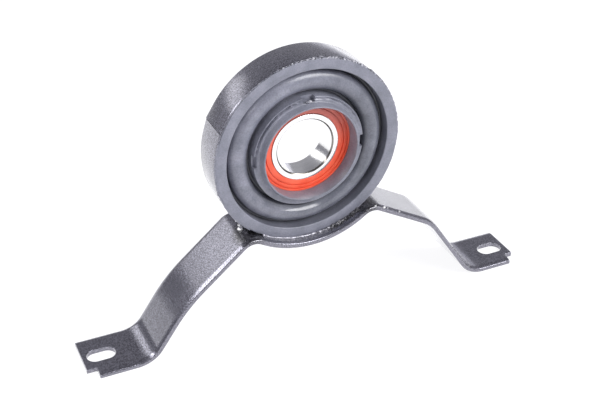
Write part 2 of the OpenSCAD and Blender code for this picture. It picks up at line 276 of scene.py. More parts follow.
def near(angle, middle, reach):
    """1 at the middle angle, falling to 0 at its reach on either side."""
    return max(0, 1 - (((angle - middle + 180) % 360 - 180) / reach) ** 2)


def leg(wrap, slope, run, knee_r, drop, foot_r, reach):
    """One side of the strap from the cradle's end to its foot, as (length, inside radius, turn) stretches."""
    wrap_a, slope_a, drop_a = (math.radians(a) for a in (wrap, slope, drop))
    crest = (CRADLE_R + STRAP_T + CREST_R) * Vector((math.sin(wrap_a), -math.cos(wrap_a)))
    knee = crest + CREST_R * Vector((math.sin(slope_a), math.cos(slope_a)))
    knee += run * Vector((math.cos(slope_a), -math.sin(slope_a)))
    heel_x = knee.x + (knee.y + AXIS_HEIGHT) / math.tan(drop_a)
    knee_cut = knee_r * math.tan((drop_a - slope_a) / 2)
    foot_cut = (foot_r + STRAP_T) * math.tan(drop_a / 2)
    lower = (knee.y + AXIS_HEIGHT) / math.sin(drop_a) - knee_cut - foot_cut
    return [
        (0, CREST_R, -wrap - slope),
        (run - knee_cut, 0, 0),
        (0, knee_r, slope - drop),
        (lower, 0, 0),
        (0, foot_r, drop),
        (reach - heel_x - foot_cut, 0, 0),
    ]


def slot_cutter(side, reach):
    """Round-ended plug that punches a foot's bolt slot."""
    sides = 56
    half = (SLOT_LEN - SLOT_W) / 2
    middle = side * (reach - SLOT_INSET) * MM
    rest_all()
    bpy.ops.mesh.primitive_cylinder_add(
        vertices=sides, radius=SLOT_W / 2 * MM, depth=4 * STRAP_T * MM, rotation=(0, 0, math.pi / sides),
        location=(middle, 0, FOOT_Z * MM))
    plug = settle("slot_cutter")
    for end in (-1, 1):
        pick(plug, "VERT", lambda v: end * (v.co.x - middle) > 0)
        bpy.ops.transform.translate(value=(end * half * MM, 0, 0))
    bpy.ops.object.mode_set(mode="OBJECT")
    return plug


def corner_cutter(side, reach):
    """Block that notches a foot's front outer corner."""
    rest_all()
    bpy.ops.mesh.primitive_cube_add(size=1, location=(side * reach * MM, -STRAP_W / 2 * MM, FOOT_Z * MM))
    bpy.context.object.scale = (2 * CORNER_LEN * MM, 2 * CORNER_DEPTH * MM, 4 * STRAP_T * MM)
    block = settle("corner_cutter")
    inner_x = side * (reach - CORNER_LEN) * MM
    pick(block, "EDGE", lambda e: all(
        abs(v.co.x - inner_x) < SAME and v.co.y > -STRAP_W / 2 * MM for v in e.verts))
    bpy.ops.mesh.bevel(offset=CORNER_R * MM, segments=4, affect="EDGES")
    bpy.ops.object.mode_set(mode="OBJECT")
    return block


def bent_strap():
    """The mounting strap: one bar pulled along its bends, punched, with the shear's rolled top edges."""
    rest_all()
    bpy.ops.mesh.primitive_plane_add(
        size=1, location=(-LEFT_REACH * MM, 0, FOOT_Z * MM), rotation=(0, math.pi / 2, 0))
    bpy.context.object.scale = (STRAP_T * MM, STRAP_W * MM, 1)
    piece = settle("strap_bar")
    at = Vector((-LEFT_REACH, -AXIS_HEIGHT))
    heading = 0.0
    cradle = [(0, CRADLE_R, LEFT_LEG[0] + RIGHT_LEG[0])]
    for length, inside_r, turn in leg(*LEFT_LEG)[::-1] + cradle + leg(*RIGHT_LEG):
        side = Vector((-math.sin(heading), math.cos(heading)))
        if turn == 0:
            step = length * Vector((math.cos(heading), math.sin(heading)))
            bpy.ops.mesh.extrude_region_move(
                TRANSFORM_OT_translate={"value": (step.x * MM, 0, step.y * MM)})
            at += step
            continue
        arm = STRAP_T + inside_r if turn > 0 else -inside_r
        centre = at + arm * side
        bpy.ops.mesh.spin(
            steps=math.ceil(abs(turn) / 2), angle=math.radians(turn),
            center=(centre.x * MM, 0, centre.y * MM), axis=(0, 1, 0))
        heading += math.radians(turn)
        at = centre - arm * Vector((-math.sin(heading), math.cos(heading)))
    close_up()
    roll_over(piece)
    for side, reach in ((-1, LEFT_REACH), (1, RIGHT_REACH)):
        cut(piece, slot_cutter(side, reach))
        cut(piece, corner_cutter(side, reach))
    round_sheared_edges(piece)
    return piece


def roll_over(piece):
    """Draws the strap's top face down towards both long edges, as the shear leaves it, and less in the cradle."""
    begin, drop, half = 12.2, 0.95, STRAP_W / 2
    cradle_x, fade, cradle_share = 22, 10, 0.3
    bpy.ops.object.mode_set(mode="EDIT")
    for side in (-1, 1):
        for share in (0, 0.25, 0.45, 0.62, 0.76, 0.88):
            bpy.ops.mesh.select_all(action="SELECT")
            bpy.ops.mesh.bisect(
                plane_co=(0, side * (begin + share * (half - begin)) * MM, 0), plane_no=(0, 1, 0))
    bpy.ops.object.mode_set(mode="OBJECT")
    top = {v for f in piece.data.polygons if f.normal.z > 0.3 and abs(f.normal.y) < 0.5 for v in f.vertices}
    members = piece.vertex_groups.new(name="roll_over")
    for index in top:
        co = piece.data.vertices[index].co
        inward = (abs(co.y) / MM - begin) / (half - begin)
        off_cradle = min(1, max(cradle_share, (abs(co.x) / MM - cradle_x) / fade))
        members.add([index], off_cradle * max(0, inward) ** 2, "REPLACE")
    shift(piece, "Z", -drop, "roll_over")


def round_sheared_edges(piece):
    """Rounds the strap's long top edges, and leaves the punched and underside edges nearly sharp."""
    top_roll, under_roll = 0.6, 0.3
    mesh = bmesh.new()
    mesh.from_mesh(piece.data)
    shares = []
    for edge in mesh.edges:
        sharp = len(edge.link_faces) == 2 and edge.calc_face_angle() > math.radians(35)
        long_top = any(f.normal.z > 0.3 for f in edge.link_faces) and all(
            abs(v.co.y) > (STRAP_W / 2 - 0.01) * MM for v in edge.verts)
        shares.append((1 if long_top else under_roll / top_roll) if sharp else 0)
    mesh.free()
    piece.data.attributes.new("bevel_weight_edge", "FLOAT", "EDGE").data.foreach_set("value", shares)
    finish_with(
        piece, "BEVEL", width=top_roll * MM, segments=4, limit_method="WEIGHT", use_clamp_overlap=False,
        miter_outer="MITER_ARC")
    bpy.ops.object.shade_smooth_by_angle(angle=CREASE)
    finish_with(piece, "WEIGHTED_NORMAL", keep_sharp=True)


def rolled_ring():
    """The steel ring: strip rolled round, with short flat ends that meet in a V at the butt seam."""
    seam, flat_above, flat_below, overlap = 158.0, 9.0, 6.0, 0.02
    above_len = RING_BORE_R * math.tan(math.radians(flat_above)) + overlap
    below_len = RING_BORE_R * math.tan(math.radians(flat_below)) + overlap
    last = math.radians(360 - flat_above - flat_below)
    tangent = Vector((-math.sin(last), 0, math.cos(last)))
    piece = section(
        "rolled_ring", (RING_BORE_R, STEEL_FRONT),
        [(RING_R, STEEL_FRONT), (RING_R, RING_BACK), (RING_BORE_R, RING_BACK)],
        [(RING_R, STEEL_FRONT, 0.9), (RING_R, RING_BACK, 0.5), (RING_BORE_R, RING_BACK, 0.3)])
    bpy.ops.mesh.select_all(action="SELECT")
    bpy.ops.mesh.spin(steps=240, angle=last, center=(0, 0, 0), axis=(0, 1, 0))
    bpy.ops.mesh.extrude_region_move(TRANSFORM_OT_translate={"value": tangent * above_len * MM})
    pick(piece, "FACE", lambda f: all(abs(v.co.z) < SAME and v.co.x > 0 for v in f.verts))
    bpy.ops.mesh.extrude_region_move(TRANSFORM_OT_translate={"value": (0, 0, -below_len * MM)})
    bpy.ops.mesh.select_all(action="SELECT")
    turn_about_shaft(seam + flat_below)
    close_up()
    return piece


def crown_centre():
    """Centre of the crown's arc, which holds both shoulders and touches them."""
    a = Vector(HUB_SHOULDER[:2])
    b = Vector(WALL_SHOULDER[:2])
    to_a = CROWN_R - HUB_SHOULDER[2]
    to_b = CROWN_R - WALL_SHOULDER[2]
    span = (b - a).length
    along = (to_a ** 2 - to_b ** 2 + span ** 2) / (2 * span)
    u = (b - a) / span
    return a + along * u + math.sqrt(to_a ** 2 - along ** 2) * Vector((-u.y, u.x))


def moulded_mount():
    """The rubber: nosed hub, rolled diaphragm between two moats, outer wall and the cover of the ring's edge."""
    crown = crown_centre()
    to_hub = math.degrees(math.atan2(HUB_SHOULDER[1] - crown.y, HUB_SHOULDER[0] - crown.x))
    to_wall = math.degrees(math.atan2(WALL_SHOULDER[1] - crown.y, WALL_SHOULDER[0] - crown.x))
    channel_y = crown.y - CROWN_R + ROOF_T + CHANNEL_HALF
    mouth = CHANNEL_HALF + (RUBBER_BACK - channel_y) * math.tan(math.radians(CHANNEL_DRAFT))
    cover_y = STEEL_FRONT + 0.1
    lip_back = RACE_BACK + BACK_LIP_T
    hub = [(NOSE_MOUTH_R, NOSE_Y), (NOSE_TIP_R, NOSE_Y), (NOSE_FOOT_R, HUB_FACE)]
    hub += [(r, HUB_FACE) for r in FACE_RADII] + [(HUB_R, HUB_FACE)]
    roll = [
        (HUB_R, HUB_MOAT[1]), (HUB_MOAT[0], HUB_MOAT[1], -180),
        (HUB_SHOULDER[0] - HUB_SHOULDER[2], HUB_SHOULDER[1]),
        (HUB_SHOULDER[0], HUB_SHOULDER[1], to_hub + 180),
        (crown.x, crown.y, to_wall - to_hub),
        (WALL_SHOULDER[0], WALL_SHOULDER[1], -to_wall),
        (WALL_MOAT[0] - WALL_MOAT[2], WALL_MOAT[1]), (WALL_MOAT[0], WALL_MOAT[1], -180)]
    rim = [
        (WALL_R, RING_FRONT), (RIM_R, RING_FRONT), (RIM_R, cover_y), (BONDED_R, cover_y),
        (BONDED_R, RUBBER_BACK)]
    back = [
        (CHANNEL_R + mouth, RUBBER_BACK), (CHANNEL_R + CHANNEL_HALF, channel_y), (CHANNEL_R, channel_y, -180),
        (CHANNEL_R - mouth, RUBBER_BACK), (HUB_R, RUBBER_BACK), (HUB_R, lip_back), (BACK_LIP_R, lip_back),
        (BACK_LIP_R, RACE_BACK), (SLEEVE_R, RACE_BACK), (SLEEVE_R, RACE_FRONT)]
    rounds = [
        (NOSE_MOUTH_R, NOSE_Y, 0.2), (NOSE_TIP_R, NOSE_Y, 0.3), (NOSE_FOOT_R, HUB_FACE, 0.5),
        (HUB_R, HUB_FACE, 0.3), (WALL_R, RING_FRONT, 0.5), (RIM_R, RING_FRONT, 0.3),
        (CHANNEL_R + mouth, RUBBER_BACK, 0.6), (CHANNEL_R - mouth, RUBBER_BACK, 0.6),
        (HUB_R, lip_back, 0.4), (BACK_LIP_R, lip_back, 0.3)]
    piece = section("moulded_mount", (NOSE_ROOT_R, RACE_FRONT), hub + roll + rim + back, rounds)
    revolve(piece, 240)
    weigh(piece, "hollow", hollow_share)
    shift(piece, "Y", HOLLOW, "hollow")
    weigh(piece, "torn", torn_share)
    roughen(piece, 1.3, 7.0, "torn", "Y", 0.25)
    for angle, depth in NOTCHES:
        cut(piece, notch_cutter(angle, depth))
    bpy.ops.object.shade_smooth_by_angle(angle=CREASE)
    return piece


def hollow_share(co):
    """How far a point of the roll's front is pressed back below the hub, where the slack rubber slopes."""
    inner, deepest, outer, behind = 31.7, 32.9, 35.1, -4.5
    brink, fall, easing = -7.98, 1.05, 0.15
    r = co.xz.length / MM
    if co.y > behind * MM or not inner < r < outer:
        return 0
    down = outer - max(r, deepest)
    slope_y = fall * down - easing * down ** 2 + brink
    across = max(0, slope_y - co.y / MM) / HOLLOW
    return min(1, across) * min(1, (r - inner) / (deepest - inner)) * near(polar(co), -98, 48)


def torn_share(co):
    """How torn a point of the hub's front face is: a crevice from the top round to the left, a shallow one right."""
    middle_r, half_width = 28.6, 0.75
    if co.y > (HUB_FACE + 0.3) * MM:
        return 0
    across = max(0, 1 - ((co.xz.length / MM - middle_r) / half_width) ** 2)
    return across * max(near(polar(co), 140, 55), 0.3 * near(polar(co), 55, 45))


def notch_cutter(angle, depth):
    """Block that takes a mould notch out of the hub's front outer edge."""
    rest_all()
    bpy.ops.mesh.primitive_cube_add(size=1, location=(HUB_R * MM, 0, 0))
    bpy.context.object.scale = (2 * depth * MM, 2 * NOTCH_AXIAL * MM, NOTCH_LEN * MM)
    block = settle("notch_cutter")
    bpy.ops.transform.translate(value=(0, HUB_FACE * MM, 0))
    turn_about_shaft(angle)
    bpy.ops.object.mode_set(mode="OBJECT")
    return block


def torn_nib():
    """A shred of rubber left in the hub's top notch when the mould was opened, pale from the painted glints of its
    finish.
    """
    angle, r, y = math.radians(92), 27.5 * MM, (HUB_FACE - 0.3) * MM
    place = (r * math.cos(angle), y, r * math.sin(angle))
    rest_all()
    bpy.ops.mesh.primitive_ico_sphere_add(subdivisions=4, radius=MM, location=place)
    piece = settle("torn_nib")
    bpy.ops.transform.resize(value=(1.7, 0.6, 0.85), center_override=place)
    close_up()
    roughen(piece, 0.8, 0.6)
    return piece


def rim_flash():
    """Thin rubber flash squeezed past the mould's outer edge: ragged at the top and the right, and broken away
    at the upper left and below."""
    root_r = RIM_R - 0.5
    piece = section(
        "rim_flash", (root_r, RING_FRONT + 0.1),
        [(RING_R + 0.15, RING_FRONT + 0.2), (RING_R + 0.2, STEEL_FRONT - 0.2),
         (RING_R - 0.2, STEEL_FRONT + 0.05), (root_r, STEEL_FRONT + 0.05)])
    revolve(piece, 720)
    finish_with(piece, "SUBSURF", levels=1, render_levels=1, subdivision_type="SIMPLE")
    weigh(piece, "ragged", lambda co: ragged_share(polar(co)) * (co.xz.length > RIM_R * MM))
    weigh(piece, "bare", lambda co: bare_share(polar(co)) * (co.xz.length > RIM_R * MM))
    roughen(piece, 2.4, 2.2, "ragged")
    roughen(piece, 0.9, 1.6, "ragged")
    shift(piece, "NORMAL", -0.9, "bare")
    return piece


def ragged_share(angle):
    """How torn the flash is at an angle round the shaft."""
    least = 0.15
    torn = ((85, 45, 1.0), (20, 30, 0.3), (196, 12, 0.8), (-100, 60, 0.4))
    return max([least] + [share * near(angle, middle, reach) for middle, reach, share in torn])


def bare_share(angle):
    """Where the flash has broken away from the ring's edge."""
    return max(near(angle, 134, 30), near(angle, -100, 30)) ** 0.3


def seal_ring(name, front):
    """One lip seal, with its snap bead, pressed lines and thin running lip."""
    line_in, line_out, line_depth = 21.2, 21.75, 0.75
    well_in, well_out, well_depth = 23.3, SEAL_EDGE_R - 1.0, 0.7
    face = SEAL_RECESS - RACE_HALF
    bead = face - 0.2
    flip = 1 if front else -1

    def at(r, y):
        return r, BEARING_SHIFT + flip * y

    outline = [
        at(SEAL_LIP_R, face),
        at(line_in, face), at(line_in, face + line_depth), at(line_out, face + line_depth), at(line_out, face),
        at(well_in, face), at(well_in, face + well_depth), at(well_out, face + well_depth), at(well_out, bead),
        at(SEAL_EDGE_R, bead), at(SEAL_EDGE_R, face + SEAL_T), at(SEAL_LIP_R, face + SEAL_T)]
    rounds = [
        (*at(SEAL_LIP_R, face), 0.45), (*at(line_in, face), 0.12), (*at(line_out, face), 0.12),
        (*at(well_in, face), 0.12), (*at(well_out, bead), 0.15), (*at(SEAL_EDGE_R, bead), 0.2)]
    return revolve(section(name, outline[0], outline[1:], rounds), 192)


def ground_race():
    """The inner race, with its ground bore, chamfers, seal grooves and ball track."""
    mouth_r = BORE_R + RACE_CHAMFER
    bore_front, bore_back = RACE_FRONT + RACE_CHAMFER, RACE_BACK - RACE_CHAMFER
    land_front, land_back = RACE_FRONT + SEAL_SEAT, RACE_BACK - SEAL_SEAT
    track_r = TRACK_SHARE * BALL_D
    track_c = PITCH_R - BALL_D / 2 - BALL_PLAY + track_r
    swing = math.degrees(math.acos((track_c - INNER_LAND_R) / track_r))
    reach = track_r * math.sin(math.radians(swing))
    piece = section(
        "ground_race", (mouth_r, RACE_FRONT),
        [
            (SEAL_RUN_R, RACE_FRONT), (SEAL_RUN_R, land_front), (INNER_LAND_R, land_front),
            (INNER_LAND_R, BEARING_SHIFT - reach), (track_c, BEARING_SHIFT, -2 * swing),
            (INNER_LAND_R, land_back), (SEAL_RUN_R, land_back), (SEAL_RUN_R, RACE_BACK),
            (mouth_r, RACE_BACK), (BORE_R, bore_back), (BORE_R, bore_front)
        ],
        [
            (mouth_r, RACE_FRONT, 0.12), (BORE_R, bore_front, 0.15), (SEAL_RUN_R, RACE_FRONT, 0.2),
            (SEAL_RUN_R, RACE_BACK, 0.2), (mouth_r, RACE_BACK, 0.12), (BORE_R, bore_back, 0.15)
        ])
    return revolve(piece, 192)


def weld_run(name, edge, outward):
    """A hand-laid fillet weld along the cradle, painted over, and lumpier to the right."""
    start, stop = -90 - LEFT_LEG[0] + 1, -90 + RIGHT_LEG[0] - 1
    least, full_x = 0.25, 14
    points = [(RING_R + rise, edge + outward * reach) for rise, reach in WELD_SECTION]
    piece = section(name, points[0], points[1:])
    bpy.ops.mesh.select_all(action="SELECT")
    turn_about_shaft(start)
    bpy.ops.mesh.spin(steps=260, angle=math.radians(stop - start), center=(0, 0, 0), axis=(0, 1, 0))
    close_up()
    finish_with(piece, "SUBSURF", levels=1, render_levels=1, subdivision_type="SIMPLE")
    weigh(piece, "burnt", lambda co: min(1, max(least, co.x / MM / full_x)))
    roughen(piece, 1.8, 1.4, "burnt")
    roughen(piece, 0.7, 0.9, "burnt")
    bpy.ops.object.shade_smooth()
    return piece


def weld_spatter():
    """Drops of weld metal frozen on the strap."""
    piece = None
    rest_all()
    for x, y, z, radius in SPATTER:
        place = (x * MM, y * MM, z * MM)
        if piece:
            bpy.ops.mesh.select_all(action="DESELECT")
        bpy.ops.mesh.primitive_ico_sphere_add(subdivisions=3, radius=radius * MM, location=place)
        piece = piece or settle("weld_spatter")
        bpy.ops.transform.resize(value=(1.25, 1.0, 0.75), center_override=place)
    close_up()
    roughen(piece, 0.9, 0.44)
    return piece


def linear(code):
    """A linear RGBA colour from an sRGB hex code."""
    parts = [int(code[i:i + 2], 16) / 255 for i in (1, 3, 5)]
    return [c / 12.92 if c <= 0.04045 else ((c + 0.055) / 1.055) ** 2.4 for c in parts] + [1.0]


def plug(tree, made, settings=None, links=None):
    """Sets up a node. A setting is an input's value, a ramp's stops as (place, hex code), or a property of the
    node. A link joins an input, by name or number, to the socket that feeds it."""
    for name, value in (settings or {}).items():
        if name == "stops":
            elements = made.color_ramp.elements
            while len(elements) < len(value):
                elements.new(0.5)
            for element, (place, code) in zip(elements, value):
                element.position = place
                element.color = linear(code)
        elif isinstance(name, int) or name in made.inputs:
            made.inputs[name].default_value = value
        else:
            setattr(made, name, value)
    for name, socket in (links or {}).items():
        tree.links.new(socket, made.inputs[name])
    return made


def node(tree, kind, settings=None, links=None):
    """Adds a node of a kind, set up and linked."""
    return plug(tree, tree.nodes.new("ShaderNode" + kind), settings, links)


def finish_of(name):
    """A new node material, with its tree, its shader and the object's own coordinates."""
    material = bpy.data.materials.new(name)
    material.use_nodes = True
    tree = material.node_tree
    return material, tree, tree.nodes["Principled BSDF"], node(tree, "TexCoord").outputs["Object"]


# Sockets of a colour mix: its share, the colours at 0 and 1, and its result
SHARE, FROM, TO, MIXED = 0, 6, 7, 2
# What leaves the shaft's direction out of a place
ROUND_SHAFT = (1.0, 0.0, 1.0)
RUBBER_IOR = 1.56
NITRILE_IOR = 1.52


# Black dip paint over hot-rolled strip: satin with a metal sheen, the strip's grain and dust nibs showing through,
# burnt black by the weld. The grain is drawn a little coarser than it is, so that it shows.
def dip_paint(name, dark, light, gloss, grit, burns=()):
    material, tree, shader, place = finish_of(name)
    speck, ripple, patch, nib_gap, nib_rise = 0.6 * MM, 6 * MM, 22 * MM, 3 * MM, 0.05 * MM
    char_edge, char_wave = 3.5, 2.5 * MM
    grain = node(tree, "TexNoise", {"Scale": 1 / speck, "Detail": 2.0, "Roughness": 0.5}, {"Vector": place})
    peel = node(tree, "TexNoise", {"Scale": 1 / ripple, "Detail": 2.0}, {"Vector": place})
    cloud = node(tree, "TexNoise", {"Scale": 1 / patch, "Detail": 3.0}, {"Vector": place})
    cells = node(tree, "TexVoronoi", {"Scale": 1 / nib_gap}, {"Vector": place})
    nibs = node(
        tree, "MapRange", {"From Min": 0.0, "From Max": 0.1, "To Min": 1.0, "To Max": 0.0},
        {"Value": cells.outputs["Distance"]})
    paint = node(tree, "ValToRGB", {"stops": [(0.4, dark), (0.6, light)]}, {"Fac": grain.outputs["Fac"]})
    soot = node(tree, "ValToRGB", {"stops": [(0.5, "#1b1a1d"), (0.62, "#77767c")]}, {"Fac": grain.outputs["Fac"]})
    colour = paint.outputs["Color"]
    for centre, reach in burns:
        away = node(tree, "VectorMath", {"operation": "DISTANCE", 1: [c * MM for c in centre]}, {0: place})
        ragged = node(
            tree, "Math", {"operation": "MULTIPLY_ADD", 1: -char_wave},
            {0: peel.outputs["Fac"], 2: away.outputs["Value"]})
        share = node(
            tree, "MapRange",
            {"From Min": (reach - char_edge) * MM, "From Max": reach * MM, "To Min": 0.9, "To Max": 0.0},
            {"Value": ragged.outputs["Value"]})
        scorched = node(
            tree, "Mix", {"data_type": "RGBA"},
            {SHARE: share.outputs["Result"], FROM: colour, TO: soot.outputs["Color"]})
        colour = scorched.outputs[MIXED]
    rough = node(
        tree, "MapRange", {"From Min": 0.3, "From Max": 0.7, "To Min": gloss - 0.05, "To Max": gloss + 0.07},
        {"Value": cloud.outputs["Fac"]})
    wave = node(tree, "Bump", {"Strength": 0.06, "Distance": 0.2 * MM}, {"Height": peel.outputs["Fac"]})
    pits = node(
        tree, "Bump", {"Strength": 1.0, "Distance": grit * MM},
        {"Height": grain.outputs["Fac"], "Normal": wave.outputs["Normal"]})
    dots = node(
        tree, "Bump", {"Strength": 1.0, "Distance": nib_rise},
        {"Height": nibs.outputs["Result"], "Normal": pits.outputs["Normal"]})
    plug(
        tree, shader, {"Metallic": 0.85, "Coat Weight": 1.0, "Coat Roughness": 0.2},
        {"Base Color": colour, "Roughness": rough.outputs["Result"], "Normal": dots.outputs["Normal"]})
    return material


# Moulded natural rubber: charcoal with a dry blue-grey bloom, heavier on the hub and rim than on the roll. The roll
# carries painted light, paler to the left and top and darker to the right and below, and the moats are darkened with
# painted shade. The roll is glossier, most of all low down.
def bloomed_rubber(name):
    material, tree, shader, place = finish_of(name)
    bloom_size, dust_size = 9 * MM, 0.7 * MM
    inner_r, outer_r = 24 * MM, 50 * MM
    bloom = node(tree, "TexNoise", {"Scale": 1 / bloom_size, "Detail": 4.0, "Roughness": 0.55}, {"Vector": place})
    dust = node(tree, "TexNoise", {"Scale": 1 / dust_size, "Detail": 2.0}, {"Vector": place})
    flat = node(tree, "VectorMath", {"operation": "MULTIPLY", 1: ROUND_SHAFT}, {0: place})
    radius = node(tree, "VectorMath", {"operation": "LENGTH"}, {"Vector": flat.outputs["Vector"]})
    span = node(tree, "MapRange", {"From Min": inner_r, "From Max": outer_r}, {"Value": radius.outputs["Value"]})
    zone = node(
        tree, "ValToRGB",
        {"stops": [(0.21, "#e0e0e0"), (0.25, "#000000"), (0.73, "#000000"), (0.77, "#e0e0e0")]},
        {"Fac": span.outputs["Result"]})
    # Painted shade: the hub's moat and the outer wall's moat are multiplied darker, where shade falls in them
    painted_moat_shade = node(
        tree, "ValToRGB",
        {"stops": [(0.225, "#ffffff"), (0.235, "#b8b8b8"), (0.31, "#b8b8b8"), (0.38, "#ffffff"),
                   (0.67, "#ffffff"), (0.7, "#ababab"), (0.757, "#ababab"), (0.765, "#ffffff")]},
        {"Fac": span.outputs["Result"]})
    # Hub and rim bloom, then the roll's two tones: a paler one painted on as light for its left and top, and a
    # darker one for its right and lower side
    hazy, painted_lit_roll_tone, light = (
        node(tree, "ValToRGB", {"stops": [(0.3, low), (0.7, high)]}, {"Fac": bloom.outputs["Fac"]})
        for low, high in (("#71737f", "#868794"), ("#6e707d", "#898a97"), ("#565862", "#6e707b")))
    # Painted light on the roll: its tone runs from the darker one at the right and below to the paler one at the
    # left and top
    toward_painted_lit_side = node(tree, "VectorMath", {"operation": "DOT_PRODUCT", 1: (-0.9, 0.0, 0.44)}, {0: place})
    painted_light_share = node(
        tree, "MapRange",
        {"interpolation_type": "SMOOTHSTEP", "From Min": -34 * MM, "From Max": 42 * MM},
        {"Value": toward_painted_lit_side.outputs["Value"]})
    rolled = node(
        tree, "Mix", {"data_type": "RGBA"},
        {SHARE: painted_light_share.outputs["Result"], FROM: light.outputs["Color"], TO: painted_lit_roll_tone.outputs["Color"]})
    colour = node(
        tree, "Mix", {"data_type": "RGBA"},
        {SHARE: zone.outputs["Color"], FROM: rolled.outputs[MIXED], TO: hazy.outputs["Color"]})
    dust_and_painted_light = node(
        tree, "Mix", {"data_type": "RGBA", "blend_type": "OVERLAY", SHARE: 0.3},
        {FROM: colour.outputs[MIXED], TO: dust.outputs["Fac"]})
    shaded = node(
        tree, "Mix", {"data_type": "RGBA", "blend_type": "MULTIPLY", SHARE: 1.0},
        {FROM: dust_and_painted_light.outputs[MIXED], TO: painted_moat_shade.outputs["Color"]})
    height = node(tree, "SeparateXYZ", None, {"Vector": place})
    dry = node(
        tree, "MapRange",
        {"interpolation_type": "SMOOTHSTEP", "From Min": -30 * MM, "From Max": 30 * MM, "To Min": 0.16,
         "To Max": 0.265},
        {"Value": height.outputs["Z"]})
    bloomed = node(tree, "MapRange", {"To Min": 0.16, "To Max": 0.4}, {"Value": zone.outputs["Color"]})
    rough = node(
        tree, "Math", {"operation": "MAXIMUM"}, {0: dry.outputs["Result"], 1: bloomed.outputs["Result"]})
    skin = node(tree, "Bump", {"Strength": 0.25, "Distance": 0.05 * MM}, {"Height": dust.outputs["Fac"]})
    plug(
        tree, shader, {"IOR": RUBBER_IOR},
        {"Base Color": shaded.outputs[MIXED], "Roughness": rough.outputs["Value"],
         "Normal": skin.outputs["Normal"]})
    return material


# The same rubber squeezed out thin, whole low down and torn above, where its colour is painted light: painted shade
# in the gaps and painted glints on the crumbs
def torn_rubber_with_painted_light(name, whole_to, torn_from):
    material, tree, shader, place = finish_of(name)
    crumb_size = 1.2 * MM
    crumb = node(tree, "TexNoise", {"Scale": 1 / crumb_size, "Detail": 3.0, "Roughness": 0.6}, {"Vector": place})
    # Painted light on the torn flash: near-black painted shade in its gaps, pale painted glints on its crumbs
    torn = node(
        tree, "ValToRGB", {"stops": [(0.42, "#3f4047"), (0.5, "#70717d"), (0.62, "#b9b9c0")]},
        {"Fac": crumb.outputs["Fac"]})
    whole = node(
        tree, "ValToRGB", {"stops": [(0.3, "#70717d"), (0.7, "#888995")]}, {"Fac": crumb.outputs["Fac"]})
    height = node(tree, "SeparateXYZ", None, {"Vector": place})
    share = node(
        tree, "MapRange", {"From Min": whole_to * MM, "From Max": torn_from * MM},
        {"Value": height.outputs["Z"]})
    colour = node(
        tree, "Mix", {"data_type": "RGBA"},
        {SHARE: share.outputs["Result"], FROM: whole.outputs["Color"], TO: torn.outputs["Color"]})
    plug(tree, shader, {"Roughness": 0.45, "IOR": RUBBER_IOR}, {"Base Color": colour.outputs[MIXED]})
    return material


# Moulded nitrile rubber of the seals: clear orange-red, satin, with painted shade and a painted pale sheen on the
# upper half
def nitrile(name):
    material, tree, shader, place = finish_of(name)
    tone_size, skin_size = 6 * MM, 0.5 * MM
    tone = node(tree, "TexNoise", {"Scale": 1 / tone_size, "Detail": 3.0}, {"Vector": place})
    clear = node(
        tree, "ValToRGB", {"stops": [(0.3, "#f05637"), (0.7, "#f8684a")]}, {"Fac": tone.outputs["Fac"]})
    height = node(tree, "SeparateXYZ", None, {"Vector": place})
    # Painted shade and sheen: higher up, the orange is mixed towards a muted, paler pink
    dust_and_painted_light = node(
        tree, "MapRange",
        {"interpolation_type": "SMOOTHSTEP", "From Min": -6 * MM, "From Max": 22 * MM, "To Max": 0.6},
        {"Value": height.outputs["Z"]})
    colour = node(
        tree, "Mix", {"data_type": "RGBA", TO: linear("#bb7f7a")},
        {SHARE: dust_and_painted_light.outputs["Result"], FROM: clear.outputs["Color"]})
    fine = node(tree, "TexNoise", {"Scale": 1 / skin_size, "Detail": 2.0}, {"Vector": place})
    skin = node(tree, "Bump", {"Strength": 0.15, "Distance": 0.03 * MM}, {"Height": fine.outputs["Fac"]})
    plug(
        tree, shader, {"Roughness": 0.42, "IOR": NITRILE_IOR},
        {"Base Color": colour.outputs[MIXED], "Normal": skin.outputs["Normal"]})
    return material


# Bearing steel: ground bright, with fine lines round the shaft, and the turned chamfer of the bore left darker.
# The lines are drawn coarser than they are, so that they show.
def bright_steel(name, code, roughness, edges=None):
    material, tree, shader, place = finish_of(name)
    line_size = 0.5 * MM
    across = node(tree, "VectorMath", {"operation": "MULTIPLY", 1: ROUND_SHAFT}, {0: place})
    radius = node(tree, "VectorMath", {"operation": "LENGTH"}, {"Vector": across.outputs["Vector"]})
    along = node(tree, "SeparateXYZ", None, {"Vector": place})
    reach = node(tree, "Math", {"operation": "ADD"}, {0: radius.outputs["Value"], 1: along.outputs["Y"]})
    lines = node(
        tree, "TexNoise", {"noise_dimensions": "1D", "Scale": 1 / line_size, "Detail": 2.0},
        {"W": reach.outputs["Value"]})
    ground = node(tree, "ValToRGB", {"stops": [(0.3, code), (0.7, "#f6f6f6")]}, {"Fac": lines.outputs["Fac"]})
    tone = ground.outputs["Color"]
    if edges:
        span = node(
            tree, "MapRange", {"From Min": 14 * MM, "From Max": 18 * MM}, {"Value": radius.outputs["Value"]})
        turned = node(
            tree, "ValToRGB",
            {"stops": [(0.252, "#ffffff"), (0.262, edges), (0.42, edges), (0.45, "#ffffff")]},
            {"Fac": span.outputs["Result"]})
        edged = node(
            tree, "Mix", {"data_type": "RGBA", "blend_type": "MULTIPLY", SHARE: 1.0},
            {FROM: tone, TO: turned.outputs["Color"]})
        tone = edged.outputs[MIXED]
    rough = node(
        tree, "MapRange",
        {"From Min": 0.3, "From Max": 0.7, "To Min": roughness * 0.8, "To Max": roughness * 1.25},
        {"Value": lines.outputs["Fac"]})
    plug(tree, shader, {"Metallic": 1.0}, {"Base Color": tone, "Roughness": rough.outputs["Result"]})
    return material


def dress(piece, material, body, slot, *nodes):
    """Gives a piece its finish, the body that it rides on and the solids that it stands for."""
    piece.data.materials.clear()
    piece.data.materials.append(material)
    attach(piece, body)
    if nodes:
        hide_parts(*nodes)


